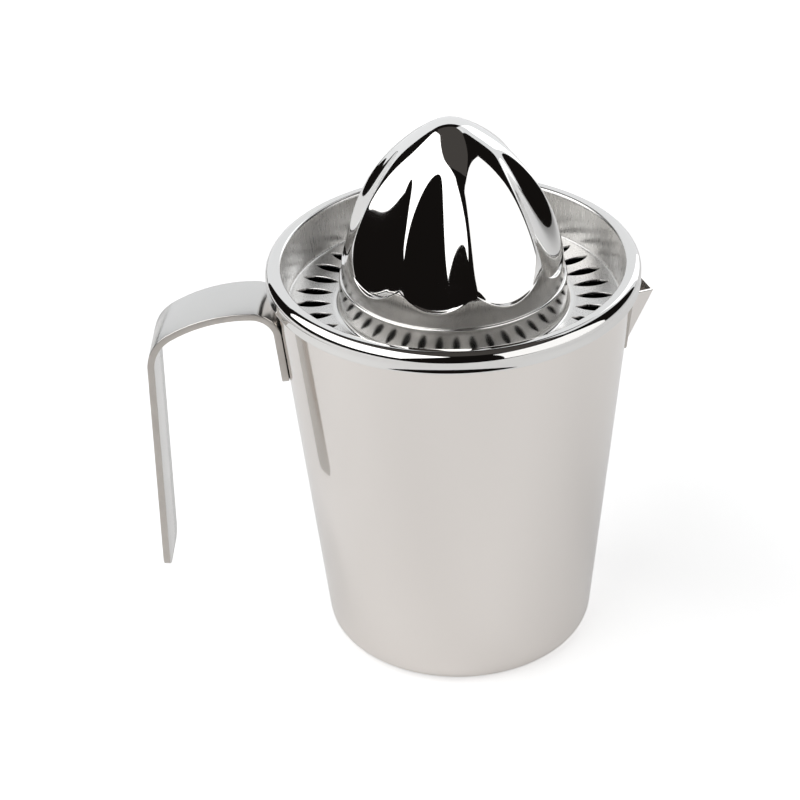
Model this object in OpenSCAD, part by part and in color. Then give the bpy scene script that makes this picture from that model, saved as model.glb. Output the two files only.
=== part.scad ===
// Citrus juicer: a tapered steel jug with a strap handle and a folded spout,
// and a lift-off insert made of a slotted strainer dish and a fluted reamer cone.
// Millimetres, +Z up. The origin is the centre of the jug's base.
// The handle lies along -X and the spout along +X.

/* [Jug] */
// Height of the jug's rim above the table
jug_h = 126.2; // [100:0.1:160]
// Outer radius at the base, before the corner is rounded
jug_base_r = 40.6; // [36:0.1:46]
// Outer radius at the rim
jug_rim_r = 54.2; // [50:0.1:60]
// Sheet thickness of the jug
jug_wall = 0.8; // [0.6:0.05:1.2]
// Outer radius of the rounded base corner
base_corner_r = 6.5; // [4:0.1:10]

/* [Spout] */
// Distance that the tip stands out from the wall
spout_reach = 6.5; // [4:0.1:12]
// Distance of the tip below the jug's rim
spout_tip_drop = 9.6; // [9.3:0.1:30]
// Height from the toe of the fold up to the tip
spout_h = 19.6; // [14:0.1:32]
// Half of the spout's width where it meets the wall
spout_half_w = 9; // [6:0.1:14]
// Rise of the upper edges from the tip to the wall
spout_rise = 3.6; // [1:0.1:3.9]
// Sheet thickness of the spout
spout_sheet = 0.8; // [0.6:0.05:1.2]
// Radius of the weld bead along the spout
spout_bead_r = 0.9; // [0.5:0.05:1.5]

/* [Handle] */
// Width of the strap
strap_w = 20.5; // [14:0.1:28]
// Thickness of the strap
strap_t = 2.2; // [1.5:0.05:3]
// Distance of the welded foot's lower end below the jug's rim
foot_drop = 36.7; // [34:0.1:50]
// Straight length of the welded foot
foot_len = 18; // [12:0.1:24]
// Outer radius of the bend above the foot
foot_bend_r = 8; // [5:0.1:12]
// Outer radius of the strap's crown
crown_r = 48; // [30:0.5:70]
// Angle that the crown turns through
crown_angle = 32; // [20:1:45]
// Outer radius of the bend into the grip
grip_bend_r = 14.2; // [8:0.1:24]
// Straight length of the hanging grip
grip_len = 73; // [40:0.5:85]
// Corner radius at both ends of the strap
strap_corner_r = 4; // [2:0.1:9]
// Gap between the foot and the wall, bridged by the spot welds
weld_gap = 0.25; // [0.1:0.05:0.6]
// Diameter of a spot weld on the foot
foot_weld_d = 5; // [3:0.1:8]

/* [Insert rim] */
// Sheet thickness of the strainer dish
dish_sheet = 0.8; // [0.6:0.05:1.2]
// Radial gap between the jug's rim and the insert's skirt
skirt_clear = 0.95; // [0.4:0.05:1.5]
// Radial gap between the jug's wall and the well inside it
well_clear = 1.45; // [0.8:0.05:2]
// Outer radius of the rim's bead
bead_r = 2.8; // [2.4:0.05:3.6]
// Radius of the lip between the bead and the well
lip_r = 1.15; // [1:0.05:1.4]
// Straight height of the skirt below the bead
skirt_h = 3.5; // [2:0.1:3.8]
// Gap between the jug's rim and the underside of the bead
seat_gap = 0.2; // [0.1:0.05:0.4]
// Angle at which the insert stands turned on the jug
insert_turn = 3; // [0:0.5:40]

/* [Strainer] */
// Depth of the well's floor below the top of the rim
well_depth = 14; // [8:0.1:20]
// Inward taper of the well's wall over its height
well_taper = 1; // [0:0.1:3]
// Inner radius of the bends at both sides of the floor
floor_bend_r = 0.9; // [0.8:0.1:2]
// Outer radius of the boss at the floor
boss_r = 34.6; // [32:0.1:36]
// Height of the boss above the floor
boss_h = 9.5; // [6:0.1:16]
// Inward taper of the boss over its height
boss_taper = 1.1; // [0:0.1:2]
// Number of drain slots
slot_count = 36; // [18:1:45]
// Length of a drain slot
slot_len = 11.4; // [5:0.1:12]
// Greatest width of a drain slot
slot_w = 3.5; // [1.5:0.1:3.8]

/* [Reamer] */
// Sheet thickness of the reamer cone
cone_sheet = 0.8; // [0.6:0.05:1.2]
// Height of the cone above the boss
cone_h = 50.3; // [40:0.1:60]
// Radius of the rounded tip
tip_r = 12; // [8:0.1:15]
// Step from the boss in to the foot of the cone
cone_setback = 0.2; // [0:0.05:0.5]
// Number of flutes
flute_count = 9; // [6:1:9]
// Height at which the flutes run out, above the foot of the cone
flute_top_h = 42; // [36:0.1:44]
// Radius of a flute's round section at the foot of the cone
flute_foot_r = 20; // [15:0.1:24]
// Radius of a flute's round section where it runs out
flute_top_r = 8; // [6:0.1:12]
// Height of the flutes' lower ends above the collar
flute_rise = 1.8; // [1.6:0.1:5]
// Depth of a flute's floor at its lower end
flute_step = 1; // [0.6:0.05:1.8]
// Further depth of a flute's floor half way up
flute_sag = 2.6; // [1.5:0.05:3]
// Radius of the scalloped outline at a flute's lower end
scallop_r = 13; // [10:0.1:20]
// Radius of the bend at the ledge along that outline
ledge_r = 0.1; // [0.05:0.05:0.3]
// Width over which the ridges between the flutes are eased
ridge_ease = 0.4; // [0.2:0.05:0.8]
// Height of the collar inside the foot of the cone
lap_h = 3.5; // [2:0.1:4]
// Radial gap between that collar and the cone
lap_gap = 0.2; // [0.15:0.05:0.3]
// Amount by which a spot weld in the lap stays short of the cone
weld_ease = 0.08; // [0.05:0.01:0.12]
// Number of spot welds through the lap
cone_weld_count = 4; // [3:1:8]
// Diameter of a spot weld in the lap
cone_weld_d = 2.4; // [1.5:0.1:2.8]

/* [Hidden] */
$fn = 96;
// Overshoot of a cutter past the face that it cuts
over = 1;
// Overlap that fuses the neighbouring lengths of the bent strap
join = 0.02;
// Facets along a quarter bend of the dish's sheet
arc_steps = 8;

// Jug: the wall leans out by wall_lean from the vertical
wall_lean = atan((jug_rim_r - jug_base_r) / jug_h);
function wall_r(z) = jug_base_r + z * tan(wall_lean);

// Spout: the tip, the toe of the fold, and the lean of the fold between them
spout_tip_z = jug_h - spout_tip_drop;
spout_toe_z = spout_tip_z - spout_h;
spout_tip_x = wall_r(spout_tip_z) + spout_reach;
spout_toe_x = wall_r(spout_toe_z);
fold_lean = atan((spout_tip_x - spout_toe_x) / (spout_tip_z - spout_toe_z));
fold_len = (spout_tip_z - spout_toe_z) / cos(fold_lean);
spout_root_x = sqrt(pow(wall_r(spout_tip_z + spout_rise), 2) - pow(spout_half_w, 2));
spout_run = spout_tip_x - spout_root_x;
spout_edge_angle = atan(spout_rise / spout_run);
fold_depth = spout_run * cos(fold_lean) + spout_rise * sin(fold_lean);
fold_half_angle = atan(spout_half_w / fold_depth);

// Handle: where the foot ends, where the bends bring the outer face of the grip, and the grip's lower end
foot_z = jug_h - foot_drop;
grip_x = -wall_r(foot_z) - weld_gap * cos(wall_lean) - foot_len * sin(wall_lean)
       - foot_bend_r * cos(wall_lean) - crown_r * sin(crown_angle)
       - grip_bend_r * (1 - sin(crown_angle));
grip_end_z = foot_z - weld_gap * sin(wall_lean) + foot_len * cos(wall_lean)
           + foot_bend_r * (1 - sin(wall_lean)) - crown_r * (1 - cos(crown_angle))
           - grip_bend_r * cos(crown_angle) - grip_len;

// Insert: radii follow the jug's rim, heights follow the seat on it
rim_outer_r = jug_rim_r + skirt_clear + dish_sheet;
well_r = jug_rim_r - jug_wall - well_clear - dish_sheet;
bead_axis_r = rim_outer_r - bead_r;
bead_inner_r = bead_r - dish_sheet;
bead_axis_z = jug_h + seat_gap - sqrt(pow(bead_inner_r, 2) - pow(jug_rim_r - bead_axis_r, 2));
rim_top_z = bead_axis_z + bead_r;
floor_z = rim_top_z - well_depth;
crease_z = floor_z + boss_h;
floor_outer_r = well_r - well_taper - floor_bend_r;
floor_inner_r = boss_r + floor_bend_r;
slot_mid_r = (floor_outer_r + floor_inner_r) / 2;
slot_arc_r = (pow(slot_len, 2) + pow(slot_w, 2)) / (4 * slot_w);

// Reamer: one arc from the foot, tangent to the round tip
cone_r = boss_r - boss_taper - cone_setback;
tip_axis_h = cone_h - tip_r;
ogive_r = (pow(cone_r, 2) + pow(tip_axis_h, 2) - pow(tip_r, 2)) / (2 * (cone_r - tip_r));
ogive_axis_r = cone_r - ogive_r;
tip_lean = asin(tip_axis_h / (ogive_r - tip_r));
flute_end_h = lap_h + flute_rise;
lap_lean = asin(lap_h / ogive_r);
ledge_h = sqrt(2 * ledge_r * (flute_step + 2 * ridge_ease));
collar_r = meridian(lap_lean, cone_sheet)[0] - lap_gap;

// Facets of the pressed cone: columns round each flute, rows over its ledge, up the side and over the tip
flute_columns = 8;
ledge_rows = 4;
cone_rows = 12;
tip_rows = 3;

steel_satin = "#c9c7c4";
steel_edge = "#b3aca4";
steel_polish = "#e2e2e4";

// Half section of the jug's cup; skin moves it inwards by the sheet's thickness
module cup_half(skin) {
  corner_r = base_corner_r - skin;
  foot_r = jug_base_r - skin / cos(wall_lean) + skin * tan(wall_lean);
  axis_r = foot_r + corner_r * (tan(wall_lean) - 1 / cos(wall_lean));
  top_r = jug_rim_r - skin / cos(wall_lean);
  top_z = jug_h + (skin > 0 ? over : 0);
  lean_out = (top_z - jug_h) * tan(wall_lean);
  translate([axis_r, skin + corner_r])
    circle(corner_r);
  polygon([[0, skin], [axis_r, skin],
           [axis_r + corner_r * cos(wall_lean), skin + corner_r * (1 - sin(wall_lean))],
           [top_r + lean_out, top_z], [0, top_z]]);
}

module cup(skin) {
  rotate_extrude()
    cup_half(skin);
}

// Wedge of the spout along its fold, below its upper edges; skin moves its faces inwards
module spout_wedge(skin) {
  depth = fold_depth + spout_half_w / 3;
  start = skin / sin(fold_half_angle);
  half = (depth - start) * tan(fold_half_angle);
  size = 4 * fold_len;
  difference() {
    translate([spout_toe_x, 0, spout_toe_z])
      rotate([0, fold_lean, 0])
        translate([0, 0, -fold_len])
          linear_extrude(3 * fold_len)
            polygon([[-start, 0], [-depth, half], [-depth, -half]]);
    translate([spout_tip_x, 0, spout_tip_z])
      rotate([0, spout_edge_angle, 0])
        translate([-size / 2, -size / 2, 0])
          cube(size);
  }
}

// One length of strap, with what follows at its end
module run(length) {
  translate([-join, 0])
    square([length + 2 * join, strap_t]);
  translate([length, 0])
    children();
}

// One bend of the strap to the left, with what follows at its end
module bend(outer_r, angle) {
  far = 2 * outer_r;
  spare = atan(join / outer_r);
  ends = [-spare, angle / 2, angle + spare];
  translate([0, outer_r]) {
    intersection() {
      difference() {
        circle(outer_r);
        circle(outer_r - strap_t);
      }
      polygon([[0, 0], for (turn = ends) far * [sin(turn), -cos(turn)]]);
    }
    rotate(angle)
      translate([0, -outer_r])
        children();
  }
}

// Cutter that rounds both corners of a strap end that points along +Z
module end_corners() {
  for (side = [-1, 1])
    translate([-strap_t, side * (strap_w / 2 - strap_corner_r), -strap_corner_r])
      difference() {
        translate([-over, side > 0 ? 0 : -strap_corner_r - over, 0])
          cube([2 * over + 3 * strap_t, strap_corner_r + over, strap_corner_r + over]);
        rotate([0, 90, 0])
          translate([0, 0, -2 * over])
            cylinder(r = strap_corner_r, h = 4 * over + 3 * strap_t);
      }
}

// Puts the strap's path on the wall: the path runs up the foot from its lower end
module at_foot() {
  translate([-wall_r(foot_z), 0, foot_z])
    rotate([0, -wall_lean, 0])
      translate([-weld_gap, 0, 0])
        children();
}

// Points along a bend of the dish's sheet
function arc(axis, radius, from, to) = [for (step = [0 : arc_steps])
  let (angle = from + step * (to - from) / arc_steps)
  axis + radius * [cos(angle), sin(angle)]];

// Half section of the strainer dish: its upper side in from the skirt, then its underside back out
module dish_half() {
  bead_axis = [bead_axis_r, bead_axis_z];
  lip_axis = [well_r + lip_r, rim_top_z - lip_r];
  wall_bend = [floor_outer_r, floor_z + floor_bend_r];
  boss_bend = [floor_inner_r, floor_z + floor_bend_r];
  under_bend_r = floor_bend_r + dish_sheet;
  skirt_z = bead_axis_z - skirt_h;
  boss_top_r = boss_r - boss_taper;
  ledge_z = crease_z - dish_sheet;
  lap_z = crease_z + lap_h;
  polygon([
    [rim_outer_r, skirt_z],
    each arc(bead_axis, bead_r, 0, 90),
    each arc(lip_axis, lip_r, 90, 180),
    each arc(wall_bend, floor_bend_r, 360, 270),
    each arc(boss_bend, floor_bend_r, 270, 180),
    [boss_top_r, crease_z], [collar_r, crease_z], [collar_r, lap_z],
    [collar_r - dish_sheet, lap_z], [collar_r - dish_sheet, ledge_z],
    [boss_top_r - dish_sheet, ledge_z],
    each arc(boss_bend, under_bend_r, 180, 270),
    each arc(wall_bend, under_bend_r, 270, 360),
    each arc(lip_axis, lip_r - dish_sheet, 180, 90),
    each arc(bead_axis, bead_inner_r, 90, 0),
    [rim_outer_r - dish_sheet, skirt_z]]);
}

// Point of the cone's half section: lean is the tilt of the smooth surface's normal
function meridian(lean, skin) = lean < tip_lean
  ? [ogive_axis_r + (ogive_r - skin) * cos(lean), (ogive_r - skin) * sin(lean)]
  : [(tip_r - skin) * cos(lean), tip_axis_h + (tip_r - skin) * sin(lean)];
// Depth of a flute's floor, which sags between its ends, and radius of its section
function flute_floor(h) = let (
  up = (h - flute_end_h) / (flute_top_h - flute_end_h),
  share = max(0, up))
  flute_step * (1 - up) + 4 * flute_sag * share * (1 - share);
function flute_r(h) = max(flute_top_r, flute_foot_r + (flute_top_r - flute_foot_r) * h / flute_top_h);
// Height of the scalloped outline at an angle off the middle of a flute
function scallop_h(off) = flute_end_h + pow(cone_r * sin(off), 2) / (2 * scallop_r);
// Depth of a flute down to its ledge, with the ridges eased
function flute_depth(side, off, h) = let (
  ledge = pow(max(0, scallop_h(off) - h), 2) / (2 * ledge_r),
  cut = flute_floor(h) - side * side / (2 * flute_r(h)) - ledge)
  (cut + sqrt(cut * cut + ridge_ease * ridge_ease)) / 2;
// Angle off the middle of the flute at an angle round the axis, and point of the cone's skin there
function flute_off(turn) = turn % (360 / flute_count) - 180 / flute_count;
function skin_point(lean, turn, skin) = let (
  smooth = meridian(lean, 0),
  off = flute_off(turn),
  sink = skin + (lean > 0 ? flute_depth(smooth[0] * sin(off), off, smooth[1]) : 0),
  radius = smooth[0] - sink * cos(lean))
  [radius * cos(turn), radius * sin(turn), smooth[1] - sink * sin(lean)];

module jug_body() {
  color(steel_satin)
    difference() {
      cup(0);
      cup(jug_wall);
      spout_wedge(spout_sheet);
    }
}

module pouring_spout() {
  color(steel_satin)
    difference() {
      spout_wedge(0);
      spout_wedge(spout_sheet);
      cup(0);
    }
}

module spout_weld() {
  root_z = spout_tip_z + spout_rise;
  rise = root_z - spout_toe_z;
  side_lean = atan(spout_half_w / rise);
  in_lean = atan((spout_root_x - spout_toe_x) * cos(side_lean) / rise);
  $fn = 360;
  color(steel_edge)
    difference() {
      for (side = [-1, 1])
        translate([spout_toe_x, 0, spout_toe_z])
          rotate([-side * side_lean, 0, 0])
            rotate([0, in_lean, 0])
              cylinder(r = spout_bead_r, h = rise / cos(side_lean) - spout_bead_r);
      cup(0);
      spout_wedge(0);
    }
}

module handle_strap() {
  grip_turn = 90 - crown_angle;
  color(steel_edge)
    difference() {
      at_foot()
        rotate([90, 0, 0])
          linear_extrude(strap_w, center = true)
            rotate(90)
              run(foot_len)
                bend(foot_bend_r, 90 - wall_lean)
                  bend(crown_r, crown_angle)
                    bend(grip_bend_r, grip_turn)
                      run(grip_len);
      at_foot()
        rotate([180, 0, 0])
          end_corners();
      translate([0, 0, grip_end_z])
        rotate([180, 0, 0])
          translate([grip_x, 0, 0])
            end_corners();
    }
}

module handle_weld() {
  color(steel_edge)
    at_foot()
      for (place = [1, 3])
        translate([0, 0, place * foot_len / 4])
          rotate([0, 90, 0])
            cylinder(d = foot_weld_d, h = weld_gap);
}

module strainer_dish() {
  color(steel_polish)
    difference() {
      rotate_extrude()
        dish_half();
      for (slot = [0 : slot_count - 1])
        rotate(insert_turn + slot * 360 / slot_count)
          translate([slot_mid_r, 0, floor_z - dish_sheet - over])
            linear_extrude(dish_sheet + 2 * over)
              intersection() {
                translate([0, slot_arc_r - slot_w / 2])
                  circle(slot_arc_r);
                translate([0, slot_w / 2 - slot_arc_r])
                  circle(slot_arc_r);
              }
    }
}

// Tilts of the smooth normal at the rows of a column, which follow the scalloped ledge
function row_leans(off) = let (
  low = asin((scallop_h(off) - ledge_h) / ogive_r),
  high = asin(scallop_h(off) / ogive_r))
  [0, lap_lean,
   for (row = [0 : ledge_rows - 1]) low + row * (high - low) / ledge_rows,
   for (row = [0 : cone_rows - 1]) high + row * (tip_lean - high) / cone_rows,
   for (row = [0 : tip_rows - 1]) tip_lean + row * (90 - tip_lean) / tip_rows];

module reamer_cone() {
  columns = flute_count * flute_columns;
  turns = [for (column = [0 : columns - 1]) column * 360 / columns];
  leans = [for (turn = turns) row_leans(flute_off(turn))];
  rows = len(leans[0]);
  skins = [0, cone_sheet];
  points = [for (skin = skins, row = [0 : rows - 1], column = [0 : columns - 1])
              skin_point(leans[column][row], turns[column], skin),
            for (skin = skins) [0, 0, cone_h - skin]];
  function at(side, row, column) = (side * rows + row) * columns + column % columns;
  function pole(side) = 2 * rows * columns + side;
  // Clockwise from outside: the outer skin, the inner skin the other way round, and the foot between them
  outer = [for (row = [0 : rows - 2], column = [0 : columns - 1]) each [
    [at(0, row, column), at(0, row + 1, column), at(0, row + 1, column + 1)],
    [at(0, row, column), at(0, row + 1, column + 1), at(0, row, column + 1)]]];
  inner = [for (row = [0 : rows - 2], column = [0 : columns - 1]) each [
    [at(1, row, column), at(1, row + 1, column + 1), at(1, row + 1, column)],
    [at(1, row, column), at(1, row, column + 1), at(1, row + 1, column + 1)]]];
  ends = [for (column = [0 : columns - 1]) each [
    [at(0, rows - 1, column), pole(0), at(0, rows - 1, column + 1)],
    [at(1, rows - 1, column), at(1, rows - 1, column + 1), pole(1)],
    [at(0, 0, column), at(0, 0, column + 1), at(1, 0, column)],
    [at(1, 0, column), at(0, 0, column + 1), at(1, 0, column + 1)]]];
  color(steel_polish)
    translate([0, 0, crease_z])
      rotate(insert_turn)
        polyhedron(points, concat(outer, inner, ends));
}

module cone_weld() {
  color(steel_edge)
    for (weld = [0 : cone_weld_count - 1])
      rotate(insert_turn + (weld + 0.5) * 360 / cone_weld_count)
        translate([collar_r, 0, crease_z + lap_h / 2])
          rotate([0, 90, 0])
            cylinder(d = cone_weld_d, h = lap_gap - weld_ease);
}

jug_body();
pouring_spout();
spout_weld();
handle_strap();
handle_weld();
strainer_dish();
reamer_cone();
cone_weld();
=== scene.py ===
"""Citrus juicer: a steel jug with a strap handle, and a lift-off insert of strainer dish and fluted cone.

Every size below is in millimetres and repeats the one in the part's source. MM turns it into metres.
"""

import math

import bmesh
import bpy
from mathutils import Matrix, Vector


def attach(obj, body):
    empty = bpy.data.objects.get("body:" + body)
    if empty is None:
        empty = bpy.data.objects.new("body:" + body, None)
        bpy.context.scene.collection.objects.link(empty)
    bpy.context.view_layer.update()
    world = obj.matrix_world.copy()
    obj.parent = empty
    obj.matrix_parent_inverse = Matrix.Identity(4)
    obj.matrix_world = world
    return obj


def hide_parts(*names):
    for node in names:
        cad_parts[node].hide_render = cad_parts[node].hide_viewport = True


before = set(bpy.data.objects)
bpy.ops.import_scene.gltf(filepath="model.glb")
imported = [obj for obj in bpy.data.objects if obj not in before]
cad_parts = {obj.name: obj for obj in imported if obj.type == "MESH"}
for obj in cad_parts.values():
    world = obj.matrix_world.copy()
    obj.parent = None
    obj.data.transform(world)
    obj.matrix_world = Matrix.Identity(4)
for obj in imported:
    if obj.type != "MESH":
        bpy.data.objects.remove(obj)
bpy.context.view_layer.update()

MM = 0.001

# Jug
JUG_H = 126.2
JUG_BASE_R = 40.6
JUG_RIM_R = 54.2
JUG_WALL = 0.8
BASE_CORNER_R = 6.5

# Spout
SPOUT_REACH = 6.5
SPOUT_TIP_Z = 116.6
SPOUT_TOE_Z = 97.0
SPOUT_HALF_W = 9.0
SPOUT_RISE = 3.6
SPOUT_SHEET = 0.8

# Handle
STRAP_W = 20.5
STRAP_T = 2.2
FOOT_Z = 89.5
FOOT_LEN = 18.0
FOOT_BEND_R = 8.0
CROWN_R = 48.0
CROWN_ANGLE = 32.0
GRIP_BEND_R = 14.2
GRIP_LEN = 73.0
STRAP_CORNER_R = 4.0
WELD_GAP = 0.25

# Insert
DISH_SHEET = 0.8
SKIRT_CLEAR = 0.95
WELL_CLEAR = 1.45
BEAD_R = 2.8
LIP_R = 1.15
SKIRT_H = 3.5
SEAT_GAP = 0.2
INSERT_TURN = 3.0
WELL_DEPTH = 14.0
WELL_TAPER = 1.0
FLOOR_BEND_R = 0.9
BOSS_R = 34.6
BOSS_H = 9.5
BOSS_TAPER = 1.1
SLOT_COUNT = 36
SLOT_LEN = 11.4
SLOT_W = 3.5

# Reamer cone
CONE_SHEET = 0.8
CONE_H = 50.3
TIP_R = 12.0
CONE_SETBACK = 0.2
FLUTE_COUNT = 9
FLUTE_TOP_H = 42.0
FLUTE_FOOT_R = 20.0
FLUTE_TOP_R = 8.0
FLUTE_RISE = 1.8
FLUTE_STEP = 1.0
FLUTE_SAG = 2.6
SCALLOP_R = 13.0
LEDGE_R = 0.1
RIDGE_EASE = 0.4
LAP_H = 3.5
LAP_GAP = 0.2

# Values that follow from those above, as in the part's source
WALL_LEAN = math.atan((JUG_RIM_R - JUG_BASE_R) / JUG_H)
RIM_OUTER_R = JUG_RIM_R + SKIRT_CLEAR + DISH_SHEET
WELL_R = JUG_RIM_R - JUG_WALL - WELL_CLEAR - DISH_SHEET
BEAD_AXIS_R = RIM_OUTER_R - BEAD_R
BEAD_AXIS_Z = JUG_H + SEAT_GAP - math.sqrt((BEAD_R - DISH_SHEET) ** 2 - (JUG_RIM_R - BEAD_AXIS_R) ** 2)
RIM_TOP_Z = BEAD_AXIS_Z + BEAD_R
FLOOR_Z = RIM_TOP_Z - WELL_DEPTH
CREASE_Z = FLOOR_Z + BOSS_H
FLOOR_OUTER_R = WELL_R - WELL_TAPER - FLOOR_BEND_R
FLOOR_INNER_R = BOSS_R + FLOOR_BEND_R
SLOT_MID_R = (FLOOR_OUTER_R + FLOOR_INNER_R) / 2
CONE_R = BOSS_R - BOSS_TAPER - CONE_SETBACK
TIP_AXIS_H = CONE_H - TIP_R
OGIVE_R = (CONE_R ** 2 + TIP_AXIS_H ** 2 - TIP_R ** 2) / (2 * (CONE_R - TIP_R))
OGIVE_AXIS_R = CONE_R - OGIVE_R
TIP_LEAN = math.asin(TIP_AXIS_H / (OGIVE_R - TIP_R))
FLUTE_END_H = LAP_H + FLUTE_RISE
LAP_LEAN = math.asin(LAP_H / OGIVE_R)
LEDGE_H = math.sqrt(2 * LEDGE_R * (FLUTE_STEP + 2 * RIDGE_EASE))

# Mesh resolution
ROUND_STEPS = 360
BEND_STEPS = 10
WALL_ROWS = 48
SHARP_ANGLE = math.radians(40)
SEAM_GAP = 0.002


def wall_r(z):
    """Outer radius of the jug's wall at a height."""
    return JUG_BASE_R + z * math.tan(WALL_LEAN)


def arc(centre, radius, start, end, steps=BEND_STEPS):
    """Points of an arc in the half section, angles in degrees."""
    angles = [math.radians(start + (end - start) * step / steps) for step in range(steps + 1)]
    return [(centre[0] + radius * math.cos(a), centre[1] + radius * math.sin(a)) for a in angles]


def line(start, end, steps):
    """Points between start and end, without the two ends."""
    shares = [step / steps for step in range(1, steps)]
    return [(start[0] + (end[0] - start[0]) * s, start[1] + (end[1] - start[1]) * s) for s in shares]


def spin_profile(bm, profile, turn=0.0):
    """Spins a half section of (radius, height) points round the Z axis."""
    rotation = Matrix.Rotation(math.radians(turn), 4, "Z")
    verts = [bm.verts.new(rotation @ Vector((r * MM, 0, z * MM))) for r, z in profile]
    edges = [bm.edges.new(pair) for pair in zip(verts, verts[1:])]
    bmesh.ops.spin(bm, geom=verts + edges, cent=(0, 0, 0), axis=(0, 0, 1), angle=2 * math.pi,
                   steps=ROUND_STEPS, use_merge=True)


def finish_mesh(bm):
    """Joins the seams, turns the faces outwards and keeps only the real corners sharp."""
    bmesh.ops.remove_doubles(bm, verts=bm.verts, dist=SEAM_GAP * MM)
    bmesh.ops.recalc_face_normals(bm, faces=bm.faces)
    for face in bm.faces:
        face.smooth = True
    for edge in bm.edges:
        edge.smooth = len(edge.link_faces) != 2 or edge.calc_face_angle() < SHARP_ANGLE


def make_piece(name, bm, body, material, node):
    """Makes an object of the mesh, on its body, in the place of its CAD node."""
    mesh = bpy.data.meshes.new(name)
    bm.to_mesh(mesh)
    bm.free()
    piece = bpy.data.objects.new(name, mesh)
    bpy.context.scene.collection.objects.link(piece)
    mesh.materials.append(material)
    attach(piece, body)
    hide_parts(node)
    return piece


# Materials


def new_material(name, base, roughness):
    """A metal with its constant values on the shader's own sockets, as material, tree and shader."""
    material = bpy.data.materials.new(name)
    material.use_nodes = True
    tree = material.node_tree
    shader = tree.nodes["Principled BSDF"]
    shader.inputs["Base Color"].default_value = (*base, 1)
    shader.inputs["Metallic"].default_value = 1.0
    shader.inputs["Roughness"].default_value = roughness
    return material, tree, shader


def add(tree, kind, **settings):
    """Adds a node with those settings."""
    node = tree.nodes.new(kind)
    for name, value in settings.items():
        setattr(node, name, value)
    return node


def stretched_noise(tree, stretch, scale):
    """Noise in the piece's own coordinates, drawn out by the stretch of each axis."""
    coordinates = add(tree, "ShaderNodeTexCoord")
    mapping = add(tree, "ShaderNodeMapping")
    mapping.inputs["Scale"].default_value = stretch
    noise = add(tree, "ShaderNodeTexNoise")
    noise.inputs["Scale"].default_value = scale
    noise.inputs["Detail"].default_value = 4.0
    tree.links.new(coordinates.outputs["Object"], mapping.inputs["Vector"])
    tree.links.new(mapping.outputs["Vector"], noise.inputs["Vector"])
    return noise.outputs["Fac"]


def spread(tree, value, low, high):
    """Maps a noise value onto a range. Nearly all of the noise lies between 0.3 and 0.7."""
    ranged = add(tree, "ShaderNodeMapRange")
    ranged.inputs["From Min"].default_value = 0.3
    ranged.inputs["From Max"].default_value = 0.7
    ranged.inputs["To Min"].default_value = low
    ranged.inputs["To Max"].default_value = high
    tree.links.new(value, ranged.inputs["Value"])
    return ranged.outputs["Result"]


def blend(tree, position, start, end, before, after):
    """Goes over from a varying roughness to a constant one between two positions in millimetres."""
    share = add(tree, "ShaderNodeMapRange")
    share.inputs["From Min"].default_value = start * MM
    share.inputs["From Max"].default_value = end * MM
    mixed = add(tree, "ShaderNodeMix")
    mixed.inputs["B"].default_value = after
    tree.links.new(position, share.inputs["Value"])
    tree.links.new(share.outputs["Result"], mixed.inputs["Factor"])
    tree.links.new(before, mixed.inputs["A"])
    return mixed.outputs["Result"]


def bump(tree, shader, height, strength, distance):
    """Raises the surface a little by a height."""
    node = add(tree, "ShaderNodeBump")
    node.inputs["Strength"].default_value = strength
    node.inputs["Distance"].default_value = distance
    tree.links.new(height, node.inputs["Height"])
    tree.links.new(node.outputs["Normal"], shader.inputs["Normal"])


def satin_steel():
    """Satin with fine brushing round the jug."""
    material, tree, shader = new_material("satin_steel", (0.83, 0.79, 0.755), 0.07)
    grain = stretched_noise(tree, (1, 1, 30), 60)
    tree.links.new(spread(tree, grain, 0.05, 0.09), shader.inputs["Roughness"])
    bump(tree, shader, grain, 0.02, 0.02 * MM)
    return material


def strap_steel():
    """Satin faces, and rougher edges where the strap was sheared; the edges' darker colour is painted
    shade.
    """
    face = (0.7, 0.69, 0.675)
    # The edges' darker colour is painted shade; their higher roughness stands for the sheared finish.
    sheared_edge_shade = (0.58, 0.545, 0.51)
    material, tree, shader = new_material("strap_steel", face, 0.2)
    grain = stretched_noise(tree, (4, 40, 4), 60)
    coordinates = add(tree, "ShaderNodeTexCoord")
    axes = add(tree, "ShaderNodeSeparateXYZ")
    sideways = add(tree, "ShaderNodeMath", operation="ABSOLUTE")
    edge = add(tree, "ShaderNodeMapRange")
    edge.inputs["From Min"].default_value = 0.6
    edge.inputs["From Max"].default_value = 0.9
    colour = add(tree, "ShaderNodeMixRGB")
    colour.inputs["Color1"].default_value = (*face, 1)
    colour.inputs["Color2"].default_value = (*sheared_edge_shade, 1)
    dull = add(tree, "ShaderNodeMix")
    tree.links.new(coordinates.outputs["Normal"], axes.inputs["Vector"])
    tree.links.new(axes.outputs["Y"], sideways.inputs[0])
    tree.links.new(sideways.outputs["Value"], edge.inputs["Value"])
    tree.links.new(edge.outputs["Result"], colour.inputs["Fac"])
    tree.links.new(edge.outputs["Result"], dull.inputs["Factor"])
    tree.links.new(spread(tree, grain, 0.17, 0.23), dull.inputs["A"])
    tree.links.new(spread(tree, grain, 0.35, 0.5), dull.inputs["B"])
    tree.links.new(colour.outputs["Color"], shader.inputs["Base Color"])
    tree.links.new(dull.outputs["Result"], shader.inputs["Roughness"])
    bump(tree, shader, grain, 0.02, 0.02 * MM)
    return material


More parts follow.
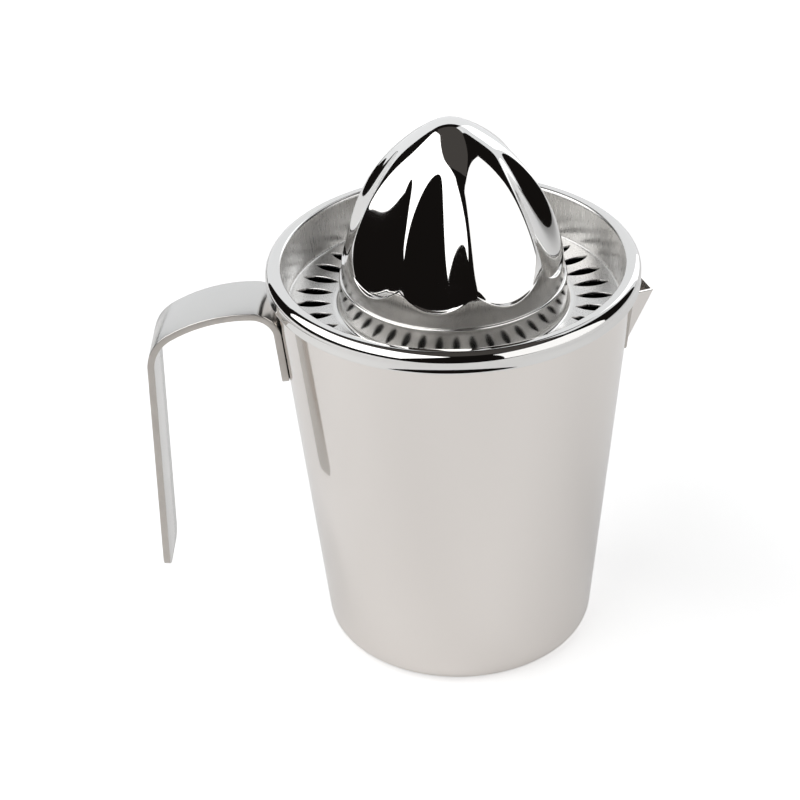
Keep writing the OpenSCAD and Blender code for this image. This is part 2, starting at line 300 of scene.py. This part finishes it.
def dish_steel():
    """Mirror polish on the rim, a softer one on the boss, and upright brushing in the well between them."""
    material, tree, shader = new_material("dish_steel", (0.8, 0.79, 0.775), 0.1)
    shader.inputs["Anisotropic"].default_value = 0.4
    grain = stretched_noise(tree, (1, 1, 0.04), 2200)
    brushed = spread(tree, grain, 0.25, 0.32)
    coordinates = add(tree, "ShaderNodeTexCoord")
    flat = add(tree, "ShaderNodeVectorMath", operation="MULTIPLY")
    flat.inputs[1].default_value = (1, 1, 0)
    radius = add(tree, "ShaderNodeVectorMath", operation="LENGTH")
    tree.links.new(coordinates.outputs["Object"], flat.inputs[0])
    tree.links.new(flat.outputs["Vector"], radius.inputs[0])
    place = radius.outputs["Value"]
    roughness = blend(tree, place, FLOOR_INNER_R + 1, FLOOR_INNER_R, brushed, 0.16)
    roughness = blend(tree, place, WELL_R, WELL_R + LIP_R, roughness, 0.025)
    tree.links.new(roughness, shader.inputs["Roughness"])
    return material


def mirror_steel():
    """Mirror polish on the flutes, satin on the plain band under them."""
    material, tree, shader = new_material("mirror_steel", (0.86, 0.85, 0.835), 0.04)
    haze = stretched_noise(tree, (1, 1, 1), 90)
    coordinates = add(tree, "ShaderNodeTexCoord")
    axes = add(tree, "ShaderNodeSeparateXYZ")
    polished = spread(tree, haze, 0.02, 0.045)
    tree.links.new(coordinates.outputs["Object"], axes.inputs["Vector"])
    band_z = CREASE_Z + FLUTE_END_H
    roughness = blend(tree, axes.outputs["Z"], band_z + 1, band_z - 1, polished, 0.2)
    tree.links.new(roughness, shader.inputs["Roughness"])
    return material


def weld_steel():
    """Dull rippled metal of the weld beads."""
    material, tree, shader = new_material("weld_steel", (0.55, 0.52, 0.48), 0.35)
    ripple = stretched_noise(tree, (1, 1, 1), 700)
    tree.links.new(spread(tree, ripple, 0.28, 0.42), shader.inputs["Roughness"])
    bump(tree, shader, ripple, 0.3, 0.1 * MM)
    return material


# Pieces


def cup_profile(skin):
    """Half section of one side of the cup, from the axis out and up to the rim."""
    corner_r = BASE_CORNER_R - skin
    lean = math.degrees(WALL_LEAN)
    foot_r = JUG_BASE_R - skin / math.cos(WALL_LEAN) + skin * math.tan(WALL_LEAN)
    axis_r = foot_r + corner_r * (math.tan(WALL_LEAN) - 1 / math.cos(WALL_LEAN))
    corner = arc((axis_r, skin + corner_r), corner_r, -90, -lean)
    top = (JUG_RIM_R - skin / math.cos(WALL_LEAN), JUG_H)
    return [(0, skin)] + corner + line(corner[-1], top, WALL_ROWS) + [top]


def spout_cutter():
    """The wedge inside the spout's sheet, which opens the jug's wall."""
    tip_x = wall_r(SPOUT_TIP_Z) + SPOUT_REACH
    toe_x = wall_r(SPOUT_TOE_Z)
    fold_lean = math.atan((tip_x - toe_x) / (SPOUT_TIP_Z - SPOUT_TOE_Z))
    root_x = math.sqrt(wall_r(SPOUT_TIP_Z + SPOUT_RISE) ** 2 - SPOUT_HALF_W ** 2)
    run = tip_x - root_x
    depth = run * math.cos(fold_lean) + SPOUT_RISE * math.sin(fold_lean)
    half_angle = math.atan(SPOUT_HALF_W / depth)
    start = SPOUT_SHEET / math.sin(half_angle)
    reach = depth + SPOUT_HALF_W / 3
    half = (reach - start) * math.tan(half_angle)
    slope = SPOUT_RISE / run
    inward = Vector((-math.cos(fold_lean), 0, math.sin(fold_lean)))
    along = Vector((math.sin(fold_lean), 0, math.cos(fold_lean)))
    toe = Vector((toe_x, 0, SPOUT_TOE_Z))
    below = 20
    section = [inward * start, inward * reach + Vector((0, half, 0)), inward * reach - Vector((0, half, 0))]
    bm = bmesh.new()
    low = []
    high = []
    for point in section:
        base = toe + point
        # Height along the fold at which the line meets the plane of the upper edges
        share = (SPOUT_TIP_Z - base.z + slope * (tip_x - base.x)) / (along.z + slope * along.x)
        low.append(bm.verts.new((base - along * below) * MM))
        high.append(bm.verts.new((base + along * share) * MM))
    bm.faces.new(low)
    bm.faces.new(high)
    for i in range(3):
        j = (i + 1) % 3
        bm.faces.new((low[i], low[j], high[j], high[i]))
    bmesh.ops.recalc_face_normals(bm, faces=bm.faces)
    mesh = bpy.data.meshes.new("spout_cutter")
    bm.to_mesh(mesh)
    bm.free()
    cutter = bpy.data.objects.new("spout_cutter", mesh)
    bpy.context.scene.collection.objects.link(cutter)
    return cutter


def cut(piece, cutter):
    """Cuts the cutter out of the piece for good and deletes the cutter."""
    modifier = piece.modifiers.new("cut", "BOOLEAN")
    modifier.operation = "DIFFERENCE"
    modifier.solver = "EXACT"
    modifier.object = cutter
    evaluated = piece.evaluated_get(bpy.context.evaluated_depsgraph_get())
    mesh = bpy.data.meshes.new_from_object(evaluated)
    piece.modifiers.remove(modifier)
    old = piece.data
    piece.data = mesh
    bpy.data.meshes.remove(old)
    bpy.data.meshes.remove(cutter.data)
    bm = bmesh.new()
    bm.from_mesh(mesh)
    finish_mesh(bm)
    bm.to_mesh(mesh)
    bm.free()


def make_jug(material):
    """The cup with a rounded rim, and the window behind the spout."""
    outside = cup_profile(0)
    inside = cup_profile(JUG_WALL)
    rim_r = (outside[-1][0] - inside[-1][0]) / 2
    rim = arc((inside[-1][0] + rim_r, JUG_H - rim_r), rim_r, 0, 180)
    profile = outside[:-1] + rim + inside[-2::-1]
    bm = bmesh.new()
    spin_profile(bm, profile)
    finish_mesh(bm)
    piece = make_piece("jug", bm, "jug", material, "jug_body")
    cut(piece, spout_cutter())


def strap_rows():
    """Rows along the strap's outer face: place, heading and half width."""
    heading = math.pi / 2 + WALL_LEAN
    gap = Vector((-math.cos(WALL_LEAN), -math.sin(WALL_LEAN))) * WELD_GAP
    place = Vector((-wall_r(FOOT_Z), FOOT_Z)) + gap
    steps = [("run", FOOT_LEN, 0), ("bend", FOOT_BEND_R, math.pi / 2 - WALL_LEAN),
             ("bend", CROWN_R, math.radians(CROWN_ANGLE)),
             ("bend", GRIP_BEND_R, math.pi / 2 - math.radians(CROWN_ANGLE)), ("run", GRIP_LEN, 0)]
    # Rows lie close where the ends are rounded, and evenly elsewhere
    run_rows = 24
    round_steps = [STRAP_CORNER_R * (1 - math.cos(math.radians(a))) for a in range(0, 91, 9)]
    rows = []
    for kind, size, angle in steps:
        direction = Vector((math.cos(heading), math.sin(heading)))
        left = Vector((-direction.y, direction.x))
        if kind == "run":
            first = not rows
            marks = round_steps if first else [size - mark for mark in reversed(round_steps)]
            spaced = [size * i / run_rows for i in range(run_rows + 1)]
            spaced = [mark for mark in spaced if STRAP_CORNER_R < mark < size - STRAP_CORNER_R]
            for mark in sorted(marks + spaced):
                from_end = mark if first else size - mark
                inset = max(0.0, STRAP_CORNER_R - from_end)
                narrow = STRAP_CORNER_R - math.sqrt(STRAP_CORNER_R ** 2 - inset ** 2)
                rows.append((place + direction * mark, heading, STRAP_W / 2 - narrow))
            place = place + direction * size
        else:
            centre = place + left * size
            count = max(8, int(math.degrees(angle) / 3))
            for i in range(count + 1):
                turned = heading + angle * i / count
                side = Vector((-math.sin(turned), math.cos(turned)))
                rows.append((centre - side * size, turned, STRAP_W / 2))
            heading += angle
            direction = Vector((math.cos(heading), math.sin(heading)))
            place = centre - Vector((-direction.y, direction.x)) * size
    return rows


def make_strap(material):
    """The bent strap with eased edges, as rings of points along its rows."""
    ease = 0.3
    corner_steps = 3
    bm = bmesh.new()
    rings = []
    for place, heading, half in strap_rows():
        left = Vector((-math.sin(heading), math.cos(heading)))
        # The foot is wrapped round the wall, and the strap is flat again at the end of its first bend
        wrap = max(0.0, (math.pi - heading) / (math.pi / 2 - WALL_LEAN))
        round_r = wall_r(place.y)
        ring = []
        for corner, (across, depth) in enumerate(((1, 0), (1, 1), (-1, 1), (-1, 0))):
            start = (-90, 0, 90, 180)[corner]
            for step in range(corner_steps + 1):
                angle = math.radians(start + 90 * step / corner_steps)
                y = across * (half - ease) + ease * math.cos(angle)
                inner = (ease if depth == 0 else STRAP_T - ease) + ease * math.sin(angle)
                flat = place + left * inner
                x = flat.x + wrap * (round_r - math.sqrt(round_r ** 2 - y ** 2))
                ring.append(bm.verts.new((x * MM, y * MM, flat.y * MM)))
        rings.append(ring)
    count = len(rings[0])
    for lower, upper in zip(rings, rings[1:]):
        for i in range(count):
            j = (i + 1) % count
            bm.faces.new((lower[i], lower[j], upper[j], upper[i]))
    bm.faces.new(rings[0])
    bm.faces.new(rings[-1])
    finish_mesh(bm)
    make_piece("strap", bm, "jug", material, "handle_strap")


def slot_half_width(share, grow):
    """Half width of a lens slot at a share from -1 to 1 of its length, grown all round."""
    length = SLOT_LEN + 2 * grow
    width = SLOT_W + 2 * grow
    radius = (length ** 2 + width ** 2) / (4 * width)
    return math.sqrt(max(0.0, radius ** 2 - (share * length / 2) ** 2)) - (radius - width / 2)


def slotted_floor(bm):
    """Both sides of the dish's flat floor with its slots: one sector of columns for each slot."""
    ease = 0.16
    sides = 5
    lens_rows = 16
    shares = [-math.cos(math.pi * i / lens_rows) for i in range(lens_rows + 1)]
    pitch = 2 * math.pi / SLOT_COUNT
    levels = ((FLOOR_Z, ease), (FLOOR_Z - ease, 0.0), (FLOOR_Z - DISH_SHEET, 0.0))
    for slot in range(SLOT_COUNT):
        middle = math.radians(INSERT_TURN) + slot * pitch
        lens_edges = []
        for level, (z, grow) in enumerate(levels):
            tip = SLOT_LEN / 2 + grow
            lens = [(SLOT_MID_R + share * tip, slot_half_width(share, grow)) for share in shares]
            rows = [(FLOOR_INNER_R, 0.0)] + lens + [(FLOOR_OUTER_R, 0.0)]
            grid = []
            for radius, half in rows:
                open_angle = half / radius
                row = {}
                for side in (-1, 1):
                    for column in range(sides + 1):
                        angle = middle + side * (open_angle + (pitch / 2 - open_angle) * column / sides)
                        row[side, column] = bm.verts.new((radius * MM * math.cos(angle),
                                                          radius * MM * math.sin(angle), z * MM))
                grid.append(row)
            if level != 1:
                for near, far in zip(grid, grid[1:]):
                    for side in (-1, 1):
                        for column in range(sides):
                            bm.faces.new((near[side, column], near[side, column + 1],
                                          far[side, column + 1], far[side, column]))
            lens_edges.append([[row[side, 0] for row in grid[1:-1]] for side in (-1, 1)])
            if level == 1:
                for row in grid:
                    for side in (-1, 1):
                        for column in range(1, sides + 1):
                            bm.verts.remove(row[side, column])
                for row in (grid[0], grid[-1]):
                    for side in (-1, 1):
                        bm.verts.remove(row[side, 0])
        for upper, lower in zip(lens_edges, lens_edges[1:]):
            for up, down in zip(upper, lower):
                for i in range(len(up) - 1):
                    bm.faces.new((up[i], up[i + 1], down[i + 1], down[i]))


def waist(bottom, skin):
    """One side of the skirt between the bead and its hem: it draws in a little, then flares back out."""
    pinch = 0.3
    narrowest = 0.32
    rows = 16
    height = BEAD_AXIS_Z - bottom
    points = []
    for row in range(1, rows):
        down = row / rows
        if down < narrowest:
            drawn = (1 - math.cos(math.pi * down / narrowest)) / 2
        else:
            drawn = 1 - ((down - narrowest) / (1 - narrowest)) ** 1.3
        points.append((RIM_OUTER_R - skin - pinch * drawn, BEAD_AXIS_Z - height * down))
    return points


def make_dish(material):
    """The strainer dish: rim, skirt and well outside the slotted floor, boss and collar inside it."""
    s = DISH_SHEET
    bead_axis = (BEAD_AXIS_R, BEAD_AXIS_Z)
    lip_axis = (WELL_R + LIP_R, RIM_TOP_Z - LIP_R)
    wall_bend = (FLOOR_OUTER_R, FLOOR_Z + FLOOR_BEND_R)
    # The boss stands upright at its middle radius, with a softer foot and shoulder than the plain section
    boss_r = BOSS_R - BOSS_TAPER / 2
    foot_r = FLOOR_INNER_R - boss_r
    shoulder_r = boss_r - CONE_R
    boss_bend = (FLOOR_INNER_R, FLOOR_Z + foot_r)
    skirt_z = BEAD_AXIS_Z - SKIRT_H
    collar_r = meridian(LAP_LEAN, CONE_SHEET)[0] - LAP_GAP
    ledge_z = CREASE_Z - s
    hem_r = s / 2
    wall_top = (WELL_R, lip_axis[1])
    wall_low = (WELL_R - WELL_TAPER, wall_bend[1])
    outer = (arc(wall_bend, FLOOR_BEND_R, -90, 0) + line(wall_low, wall_top, 6)
             + arc(lip_axis, LIP_R, 180, 90) + arc(bead_axis, BEAD_R, 90, 0, 2 * BEND_STEPS)
             + waist(skirt_z + hem_r, 0) + arc((RIM_OUTER_R - hem_r, skirt_z + hem_r), hem_r, 0, -180)
             + waist(skirt_z + hem_r, s)[::-1] + arc(bead_axis, BEAD_R - s, 0, 90)
             + arc(lip_axis, LIP_R - s, 90, 180)
             + arc(wall_bend, FLOOR_BEND_R + s, 0, -90))
    inner = (arc(boss_bend, foot_r, -90, -180)
             + line((boss_r, boss_bend[1]), (boss_r, CREASE_Z - shoulder_r), 4)
             + arc((CONE_R, CREASE_Z - shoulder_r), shoulder_r, 0, 90)
             + [(collar_r, CREASE_Z), (collar_r, CREASE_Z + LAP_H), (collar_r - s, CREASE_Z + LAP_H),
                (collar_r - s, ledge_z), (boss_r - s, ledge_z)]
             + arc(boss_bend, foot_r + s, 180, 270))
    bm = bmesh.new()
    spin_profile(bm, outer, INSERT_TURN)
    spin_profile(bm, inner, INSERT_TURN)
    slotted_floor(bm)
    finish_mesh(bm)
    make_piece("dish", bm, "insert", material, "strainer_dish")


def meridian(lean, skin):
    """Point of the smooth cone, as (radius, height above the crease), where the normal leans up by lean."""
    if lean < TIP_LEAN:
        reach = OGIVE_R - skin
        return OGIVE_AXIS_R + reach * math.cos(lean), reach * math.sin(lean)
    reach = TIP_R - skin
    return reach * math.cos(lean), TIP_AXIS_H + reach * math.sin(lean)


def scallop_h(off):
    """Height of the scalloped lower outline at an angle off the middle of a flute."""
    return FLUTE_END_H + (CONE_R * math.sin(off)) ** 2 / (2 * SCALLOP_R)


def flute_depth(side, off, height):
    """Depth of a flute down to its ledge, at a distance to its side and a height, with eased ridges."""
    up = (height - FLUTE_END_H) / (FLUTE_TOP_H - FLUTE_END_H)
    share = max(0.0, up)
    floor = FLUTE_STEP * (1 - up) + 4 * FLUTE_SAG * share * (1 - share)
    section_r = max(FLUTE_TOP_R, FLUTE_FOOT_R + (FLUTE_TOP_R - FLUTE_FOOT_R) * height / FLUTE_TOP_H)
    ledge = max(0.0, scallop_h(off) - height) ** 2 / (2 * LEDGE_R)
    depth = floor - side ** 2 / (2 * section_r) - ledge
    return (depth + math.sqrt(depth ** 2 + RIDGE_EASE ** 2)) / 2


def cone_skin(bm, skin, ledge_rows, side_rows, tip_rows, columns):
    """One skin of the pressed cone, in rows that follow the scalloped ledge. Returns its lowest ring."""
    pitch = 2 * math.pi / FLUTE_COUNT
    lines = []
    for column in range(columns):
        turn = 2 * math.pi * column / columns
        off = turn % pitch - pitch / 2
        low = math.asin((scallop_h(off) - LEDGE_H) / OGIVE_R)
        high = math.asin(scallop_h(off) / OGIVE_R)
        leans = [0.0]
        for start, end, rows in ((LAP_LEAN, low, 2), (low, high, ledge_rows), (high, TIP_LEAN, side_rows),
                                 (TIP_LEAN, math.pi / 2, tip_rows)):
            leans += [start + (end - start) * row / rows for row in range(rows)]
        angle = turn + math.radians(INSERT_TURN)
        line_up = []
        for lean in leans:
            radius, height = meridian(lean, 0)
            press = flute_depth(radius * math.sin(off), off, height) if lean > 0 else 0.0
            sink = skin + press
            reach = (radius - sink * math.cos(lean)) * MM
            z = (CREASE_Z + height - sink * math.sin(lean)) * MM
            line_up.append(bm.verts.new((reach * math.cos(angle), reach * math.sin(angle), z)))
        lines.append(line_up)
    rings = list(zip(*lines))
    pole = bm.verts.new((0, 0, (CREASE_Z + CONE_H - skin) * MM))
    for lower, upper in zip(rings, rings[1:]):
        for i in range(columns):
            j = (i + 1) % columns
            bm.faces.new((lower[i], lower[j], upper[j], upper[i]))
    for i in range(columns):
        bm.faces.new((rings[-1][i], rings[-1][(i + 1) % columns], pole))
    return rings[0]


def make_cone(material):
    """The hollow reamer cone of two skins, closed at its foot."""
    columns = 36 * FLUTE_COUNT
    bm = bmesh.new()
    foot = cone_skin(bm, 0, 14, 90, 24, columns)
    foot_inside = cone_skin(bm, CONE_SHEET, 8, 32, 8, columns)
    for i in range(columns):
        j = (i + 1) % columns
        bm.faces.new((foot[i], foot_inside[i], foot_inside[j], foot[j]))
    finish_mesh(bm)
    make_piece("cone", bm, "insert", material, "reamer_cone")


def dress_node(name, material, edge=None):
    """A CAD node that shows as it is, with its material and, where given, eased edges."""
    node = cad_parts[name]
    node.data.materials.clear()
    node.data.materials.append(material)
    if edge:
        weld = node.modifiers.new("weld", "WELD")
        weld.merge_threshold = SEAM_GAP * MM
        bevel = node.modifiers.new("edge", "BEVEL")
        bevel.width = edge * MM
        bevel.segments = 3
        bevel.limit_method = "ANGLE"
        bevel.angle_limit = math.radians(35)


satin = satin_steel()
make_jug(satin)
make_strap(strap_steel())
make_dish(dish_steel())
make_cone(mirror_steel())
weld = weld_steel()
dress_node("pouring_spout", satin, 0.25)
dress_node("spout_weld", weld)
dress_node("handle_weld", weld)
dress_node("cone_weld", weld)


# Studio


def make_floor():
    """A white table top that glows a little, so that it stays white and still takes the object's shadow."""
    left = -0.55
    right = 1.4
    front = -0.5
    back = 1.3
    bm = bmesh.new()
    corners = ((left, front), (right, front), (right, back), (left, back))
    bm.faces.new([bm.verts.new((x, y, 0)) for x, y in corners])
    mesh = bpy.data.meshes.new("floor")
    bm.to_mesh(mesh)
    bm.free()
    floor = bpy.data.objects.new("floor", mesh)
    bpy.context.scene.collection.objects.link(floor)
    material = bpy.data.materials.new("floor")
    material.use_nodes = True
    tree = material.node_tree
    shader = tree.nodes["Principled BSDF"]
    shader.inputs["Base Color"].default_value = (0.85, 0.85, 0.85, 1)
    shader.inputs["Roughness"].default_value = 0.9
    shader.inputs["Specular IOR Level"].default_value = 0.0
    shader.inputs["Emission Color"].default_value = (1, 1, 1, 1)
    # The glow is stronger for the camera, and strongest where the table runs out into the white behind it
    paths = add(tree, "ShaderNodeLightPath")
    coordinates = add(tree, "ShaderNodeTexCoord")
    distance = add(tree, "ShaderNodeVectorMath", operation="LENGTH")
    seen = add(tree, "ShaderNodeMapRange")
    seen.inputs["From Min"].default_value = 0.25
    seen.inputs["From Max"].default_value = 0.6
    seen.inputs["To Min"].default_value = 0.5
    seen.inputs["To Max"].default_value = 1.0
    glow = add(tree, "ShaderNodeMix")
    glow.inputs["A"].default_value = 0.14
    tree.links.new(coordinates.outputs["Object"], distance.inputs[0])
    tree.links.new(distance.outputs["Value"], seen.inputs["Value"])
    tree.links.new(seen.outputs["Result"], glow.inputs["B"])
    tree.links.new(paths.outputs["Is Camera Ray"], glow.inputs["Factor"])
    tree.links.new(glow.outputs["Result"], shader.inputs["Emission Strength"])
    mesh.materials.append(material)


def softbox(name, place, facing, size, radiance, colour=(1, 1, 1)):
    """An area light of that size and brightness, seen only in reflections and by what it lights."""
    light = bpy.data.lights.new(name, "AREA")
    light.shape = "RECTANGLE"
    light.size, light.size_y = size
    light.energy = radiance * math.pi * size[0] * size[1]
    light.color = colour
    box = bpy.data.objects.new(name, light)
    bpy.context.scene.collection.objects.link(box)
    box.location = place
    box.rotation_euler = Vector(facing).to_track_quat("-Z", "Y").to_euler()
    box.visible_camera = False


def make_world():
    """A dim room round the table, and white behind it for the camera."""
    world = bpy.data.worlds.new("studio")
    bpy.context.scene.world = world
    world.use_nodes = True
    tree = world.node_tree
    room = tree.nodes["Background"]
    room.inputs["Color"].default_value = (0.007, 0.006, 0.0055, 1)
    white = tree.nodes.new("ShaderNodeBackground")
    white.inputs["Color"].default_value = (1, 1, 1, 1)
    paths = tree.nodes.new("ShaderNodeLightPath")
    mix = tree.nodes.new("ShaderNodeMixShader")
    tree.links.new(paths.outputs["Is Camera Ray"], mix.inputs["Fac"])
    tree.links.new(room.outputs["Background"], mix.inputs[1])
    tree.links.new(white.outputs["Background"], mix.inputs[2])
    tree.links.new(mix.outputs["Shader"], tree.nodes["World Output"].inputs["Surface"])


def make_camera():
    """The photograph's view: the aim point on the axis stands at aim_x, aim_y of an 800 pixel square."""
    focal_px = 3000.0
    frame_px = 800.0
    sensor_mm = 36.0
    azimuth = math.radians(2.0)
    elevation = math.radians(32.5)
    roll = math.radians(-1.9)
    distance = 0.922
    aim = Vector((0, 0, 0.07))
    aim_x = 455.8
    aim_y = 423.0
    back = Vector((math.sin(azimuth) * math.cos(elevation), -math.cos(azimuth) * math.cos(elevation),
                   math.sin(elevation)))
    right = Vector((math.cos(azimuth), math.sin(azimuth), 0))
    up = back.cross(right)
    look = -back - right * ((aim_x - frame_px / 2) / focal_px) + up * ((aim_y - frame_px / 2) / focal_px)
    look.normalize()
    level = look.cross(Vector((0, 0, 1))).normalized()
    upright = level.cross(look)
    across = level * math.cos(roll) + upright * math.sin(roll)
    above = upright * math.cos(roll) - level * math.sin(roll)
    place = aim + back * distance
    data = bpy.data.cameras.new("camera")
    data.sensor_width = sensor_mm
    data.lens = sensor_mm * focal_px / frame_px
    data.clip_start = 0.01
    camera = bpy.data.objects.new("camera", data)
    camera.matrix_world = Matrix(((across.x, above.x, -look.x, place.x),
                                  (across.y, above.y, -look.y, place.y),
                                  (across.z, above.z, -look.z, place.z),
                                  (0, 0, 0, 1)))
    bpy.context.scene.collection.objects.link(camera)
    bpy.context.scene.camera = camera


bpy.context.scene.view_settings.view_transform = "Standard"
make_floor()
make_world()
make_camera()
cool = (0.96, 0.98, 1)
warm = (1, 0.93, 0.87)
softbox("left_box", (-0.68, -0.2, 0.86), (0.72, 0.4, -0.5), (1.6, 1.2), 1.85)
softbox("right_box", (0.72, -0.38, 0.67), (-0.883, 0.469, 0), (1.06, 1.3), 1.2)
softbox("backdrop", (0, 1.1, 0.65), (0, -1, 0), (2.2, 1.3), 0.92, colour=cool)
softbox("right_panel", (0.66, 0.8, 0.75), (-0.6, -0.72, -0.36), (0.5, 1.5), 0.85, colour=cool)
softbox("ceiling", (0, 0.2, 2.4), (0, 0, -1), (2.4, 2.4), 0.055, colour=warm)
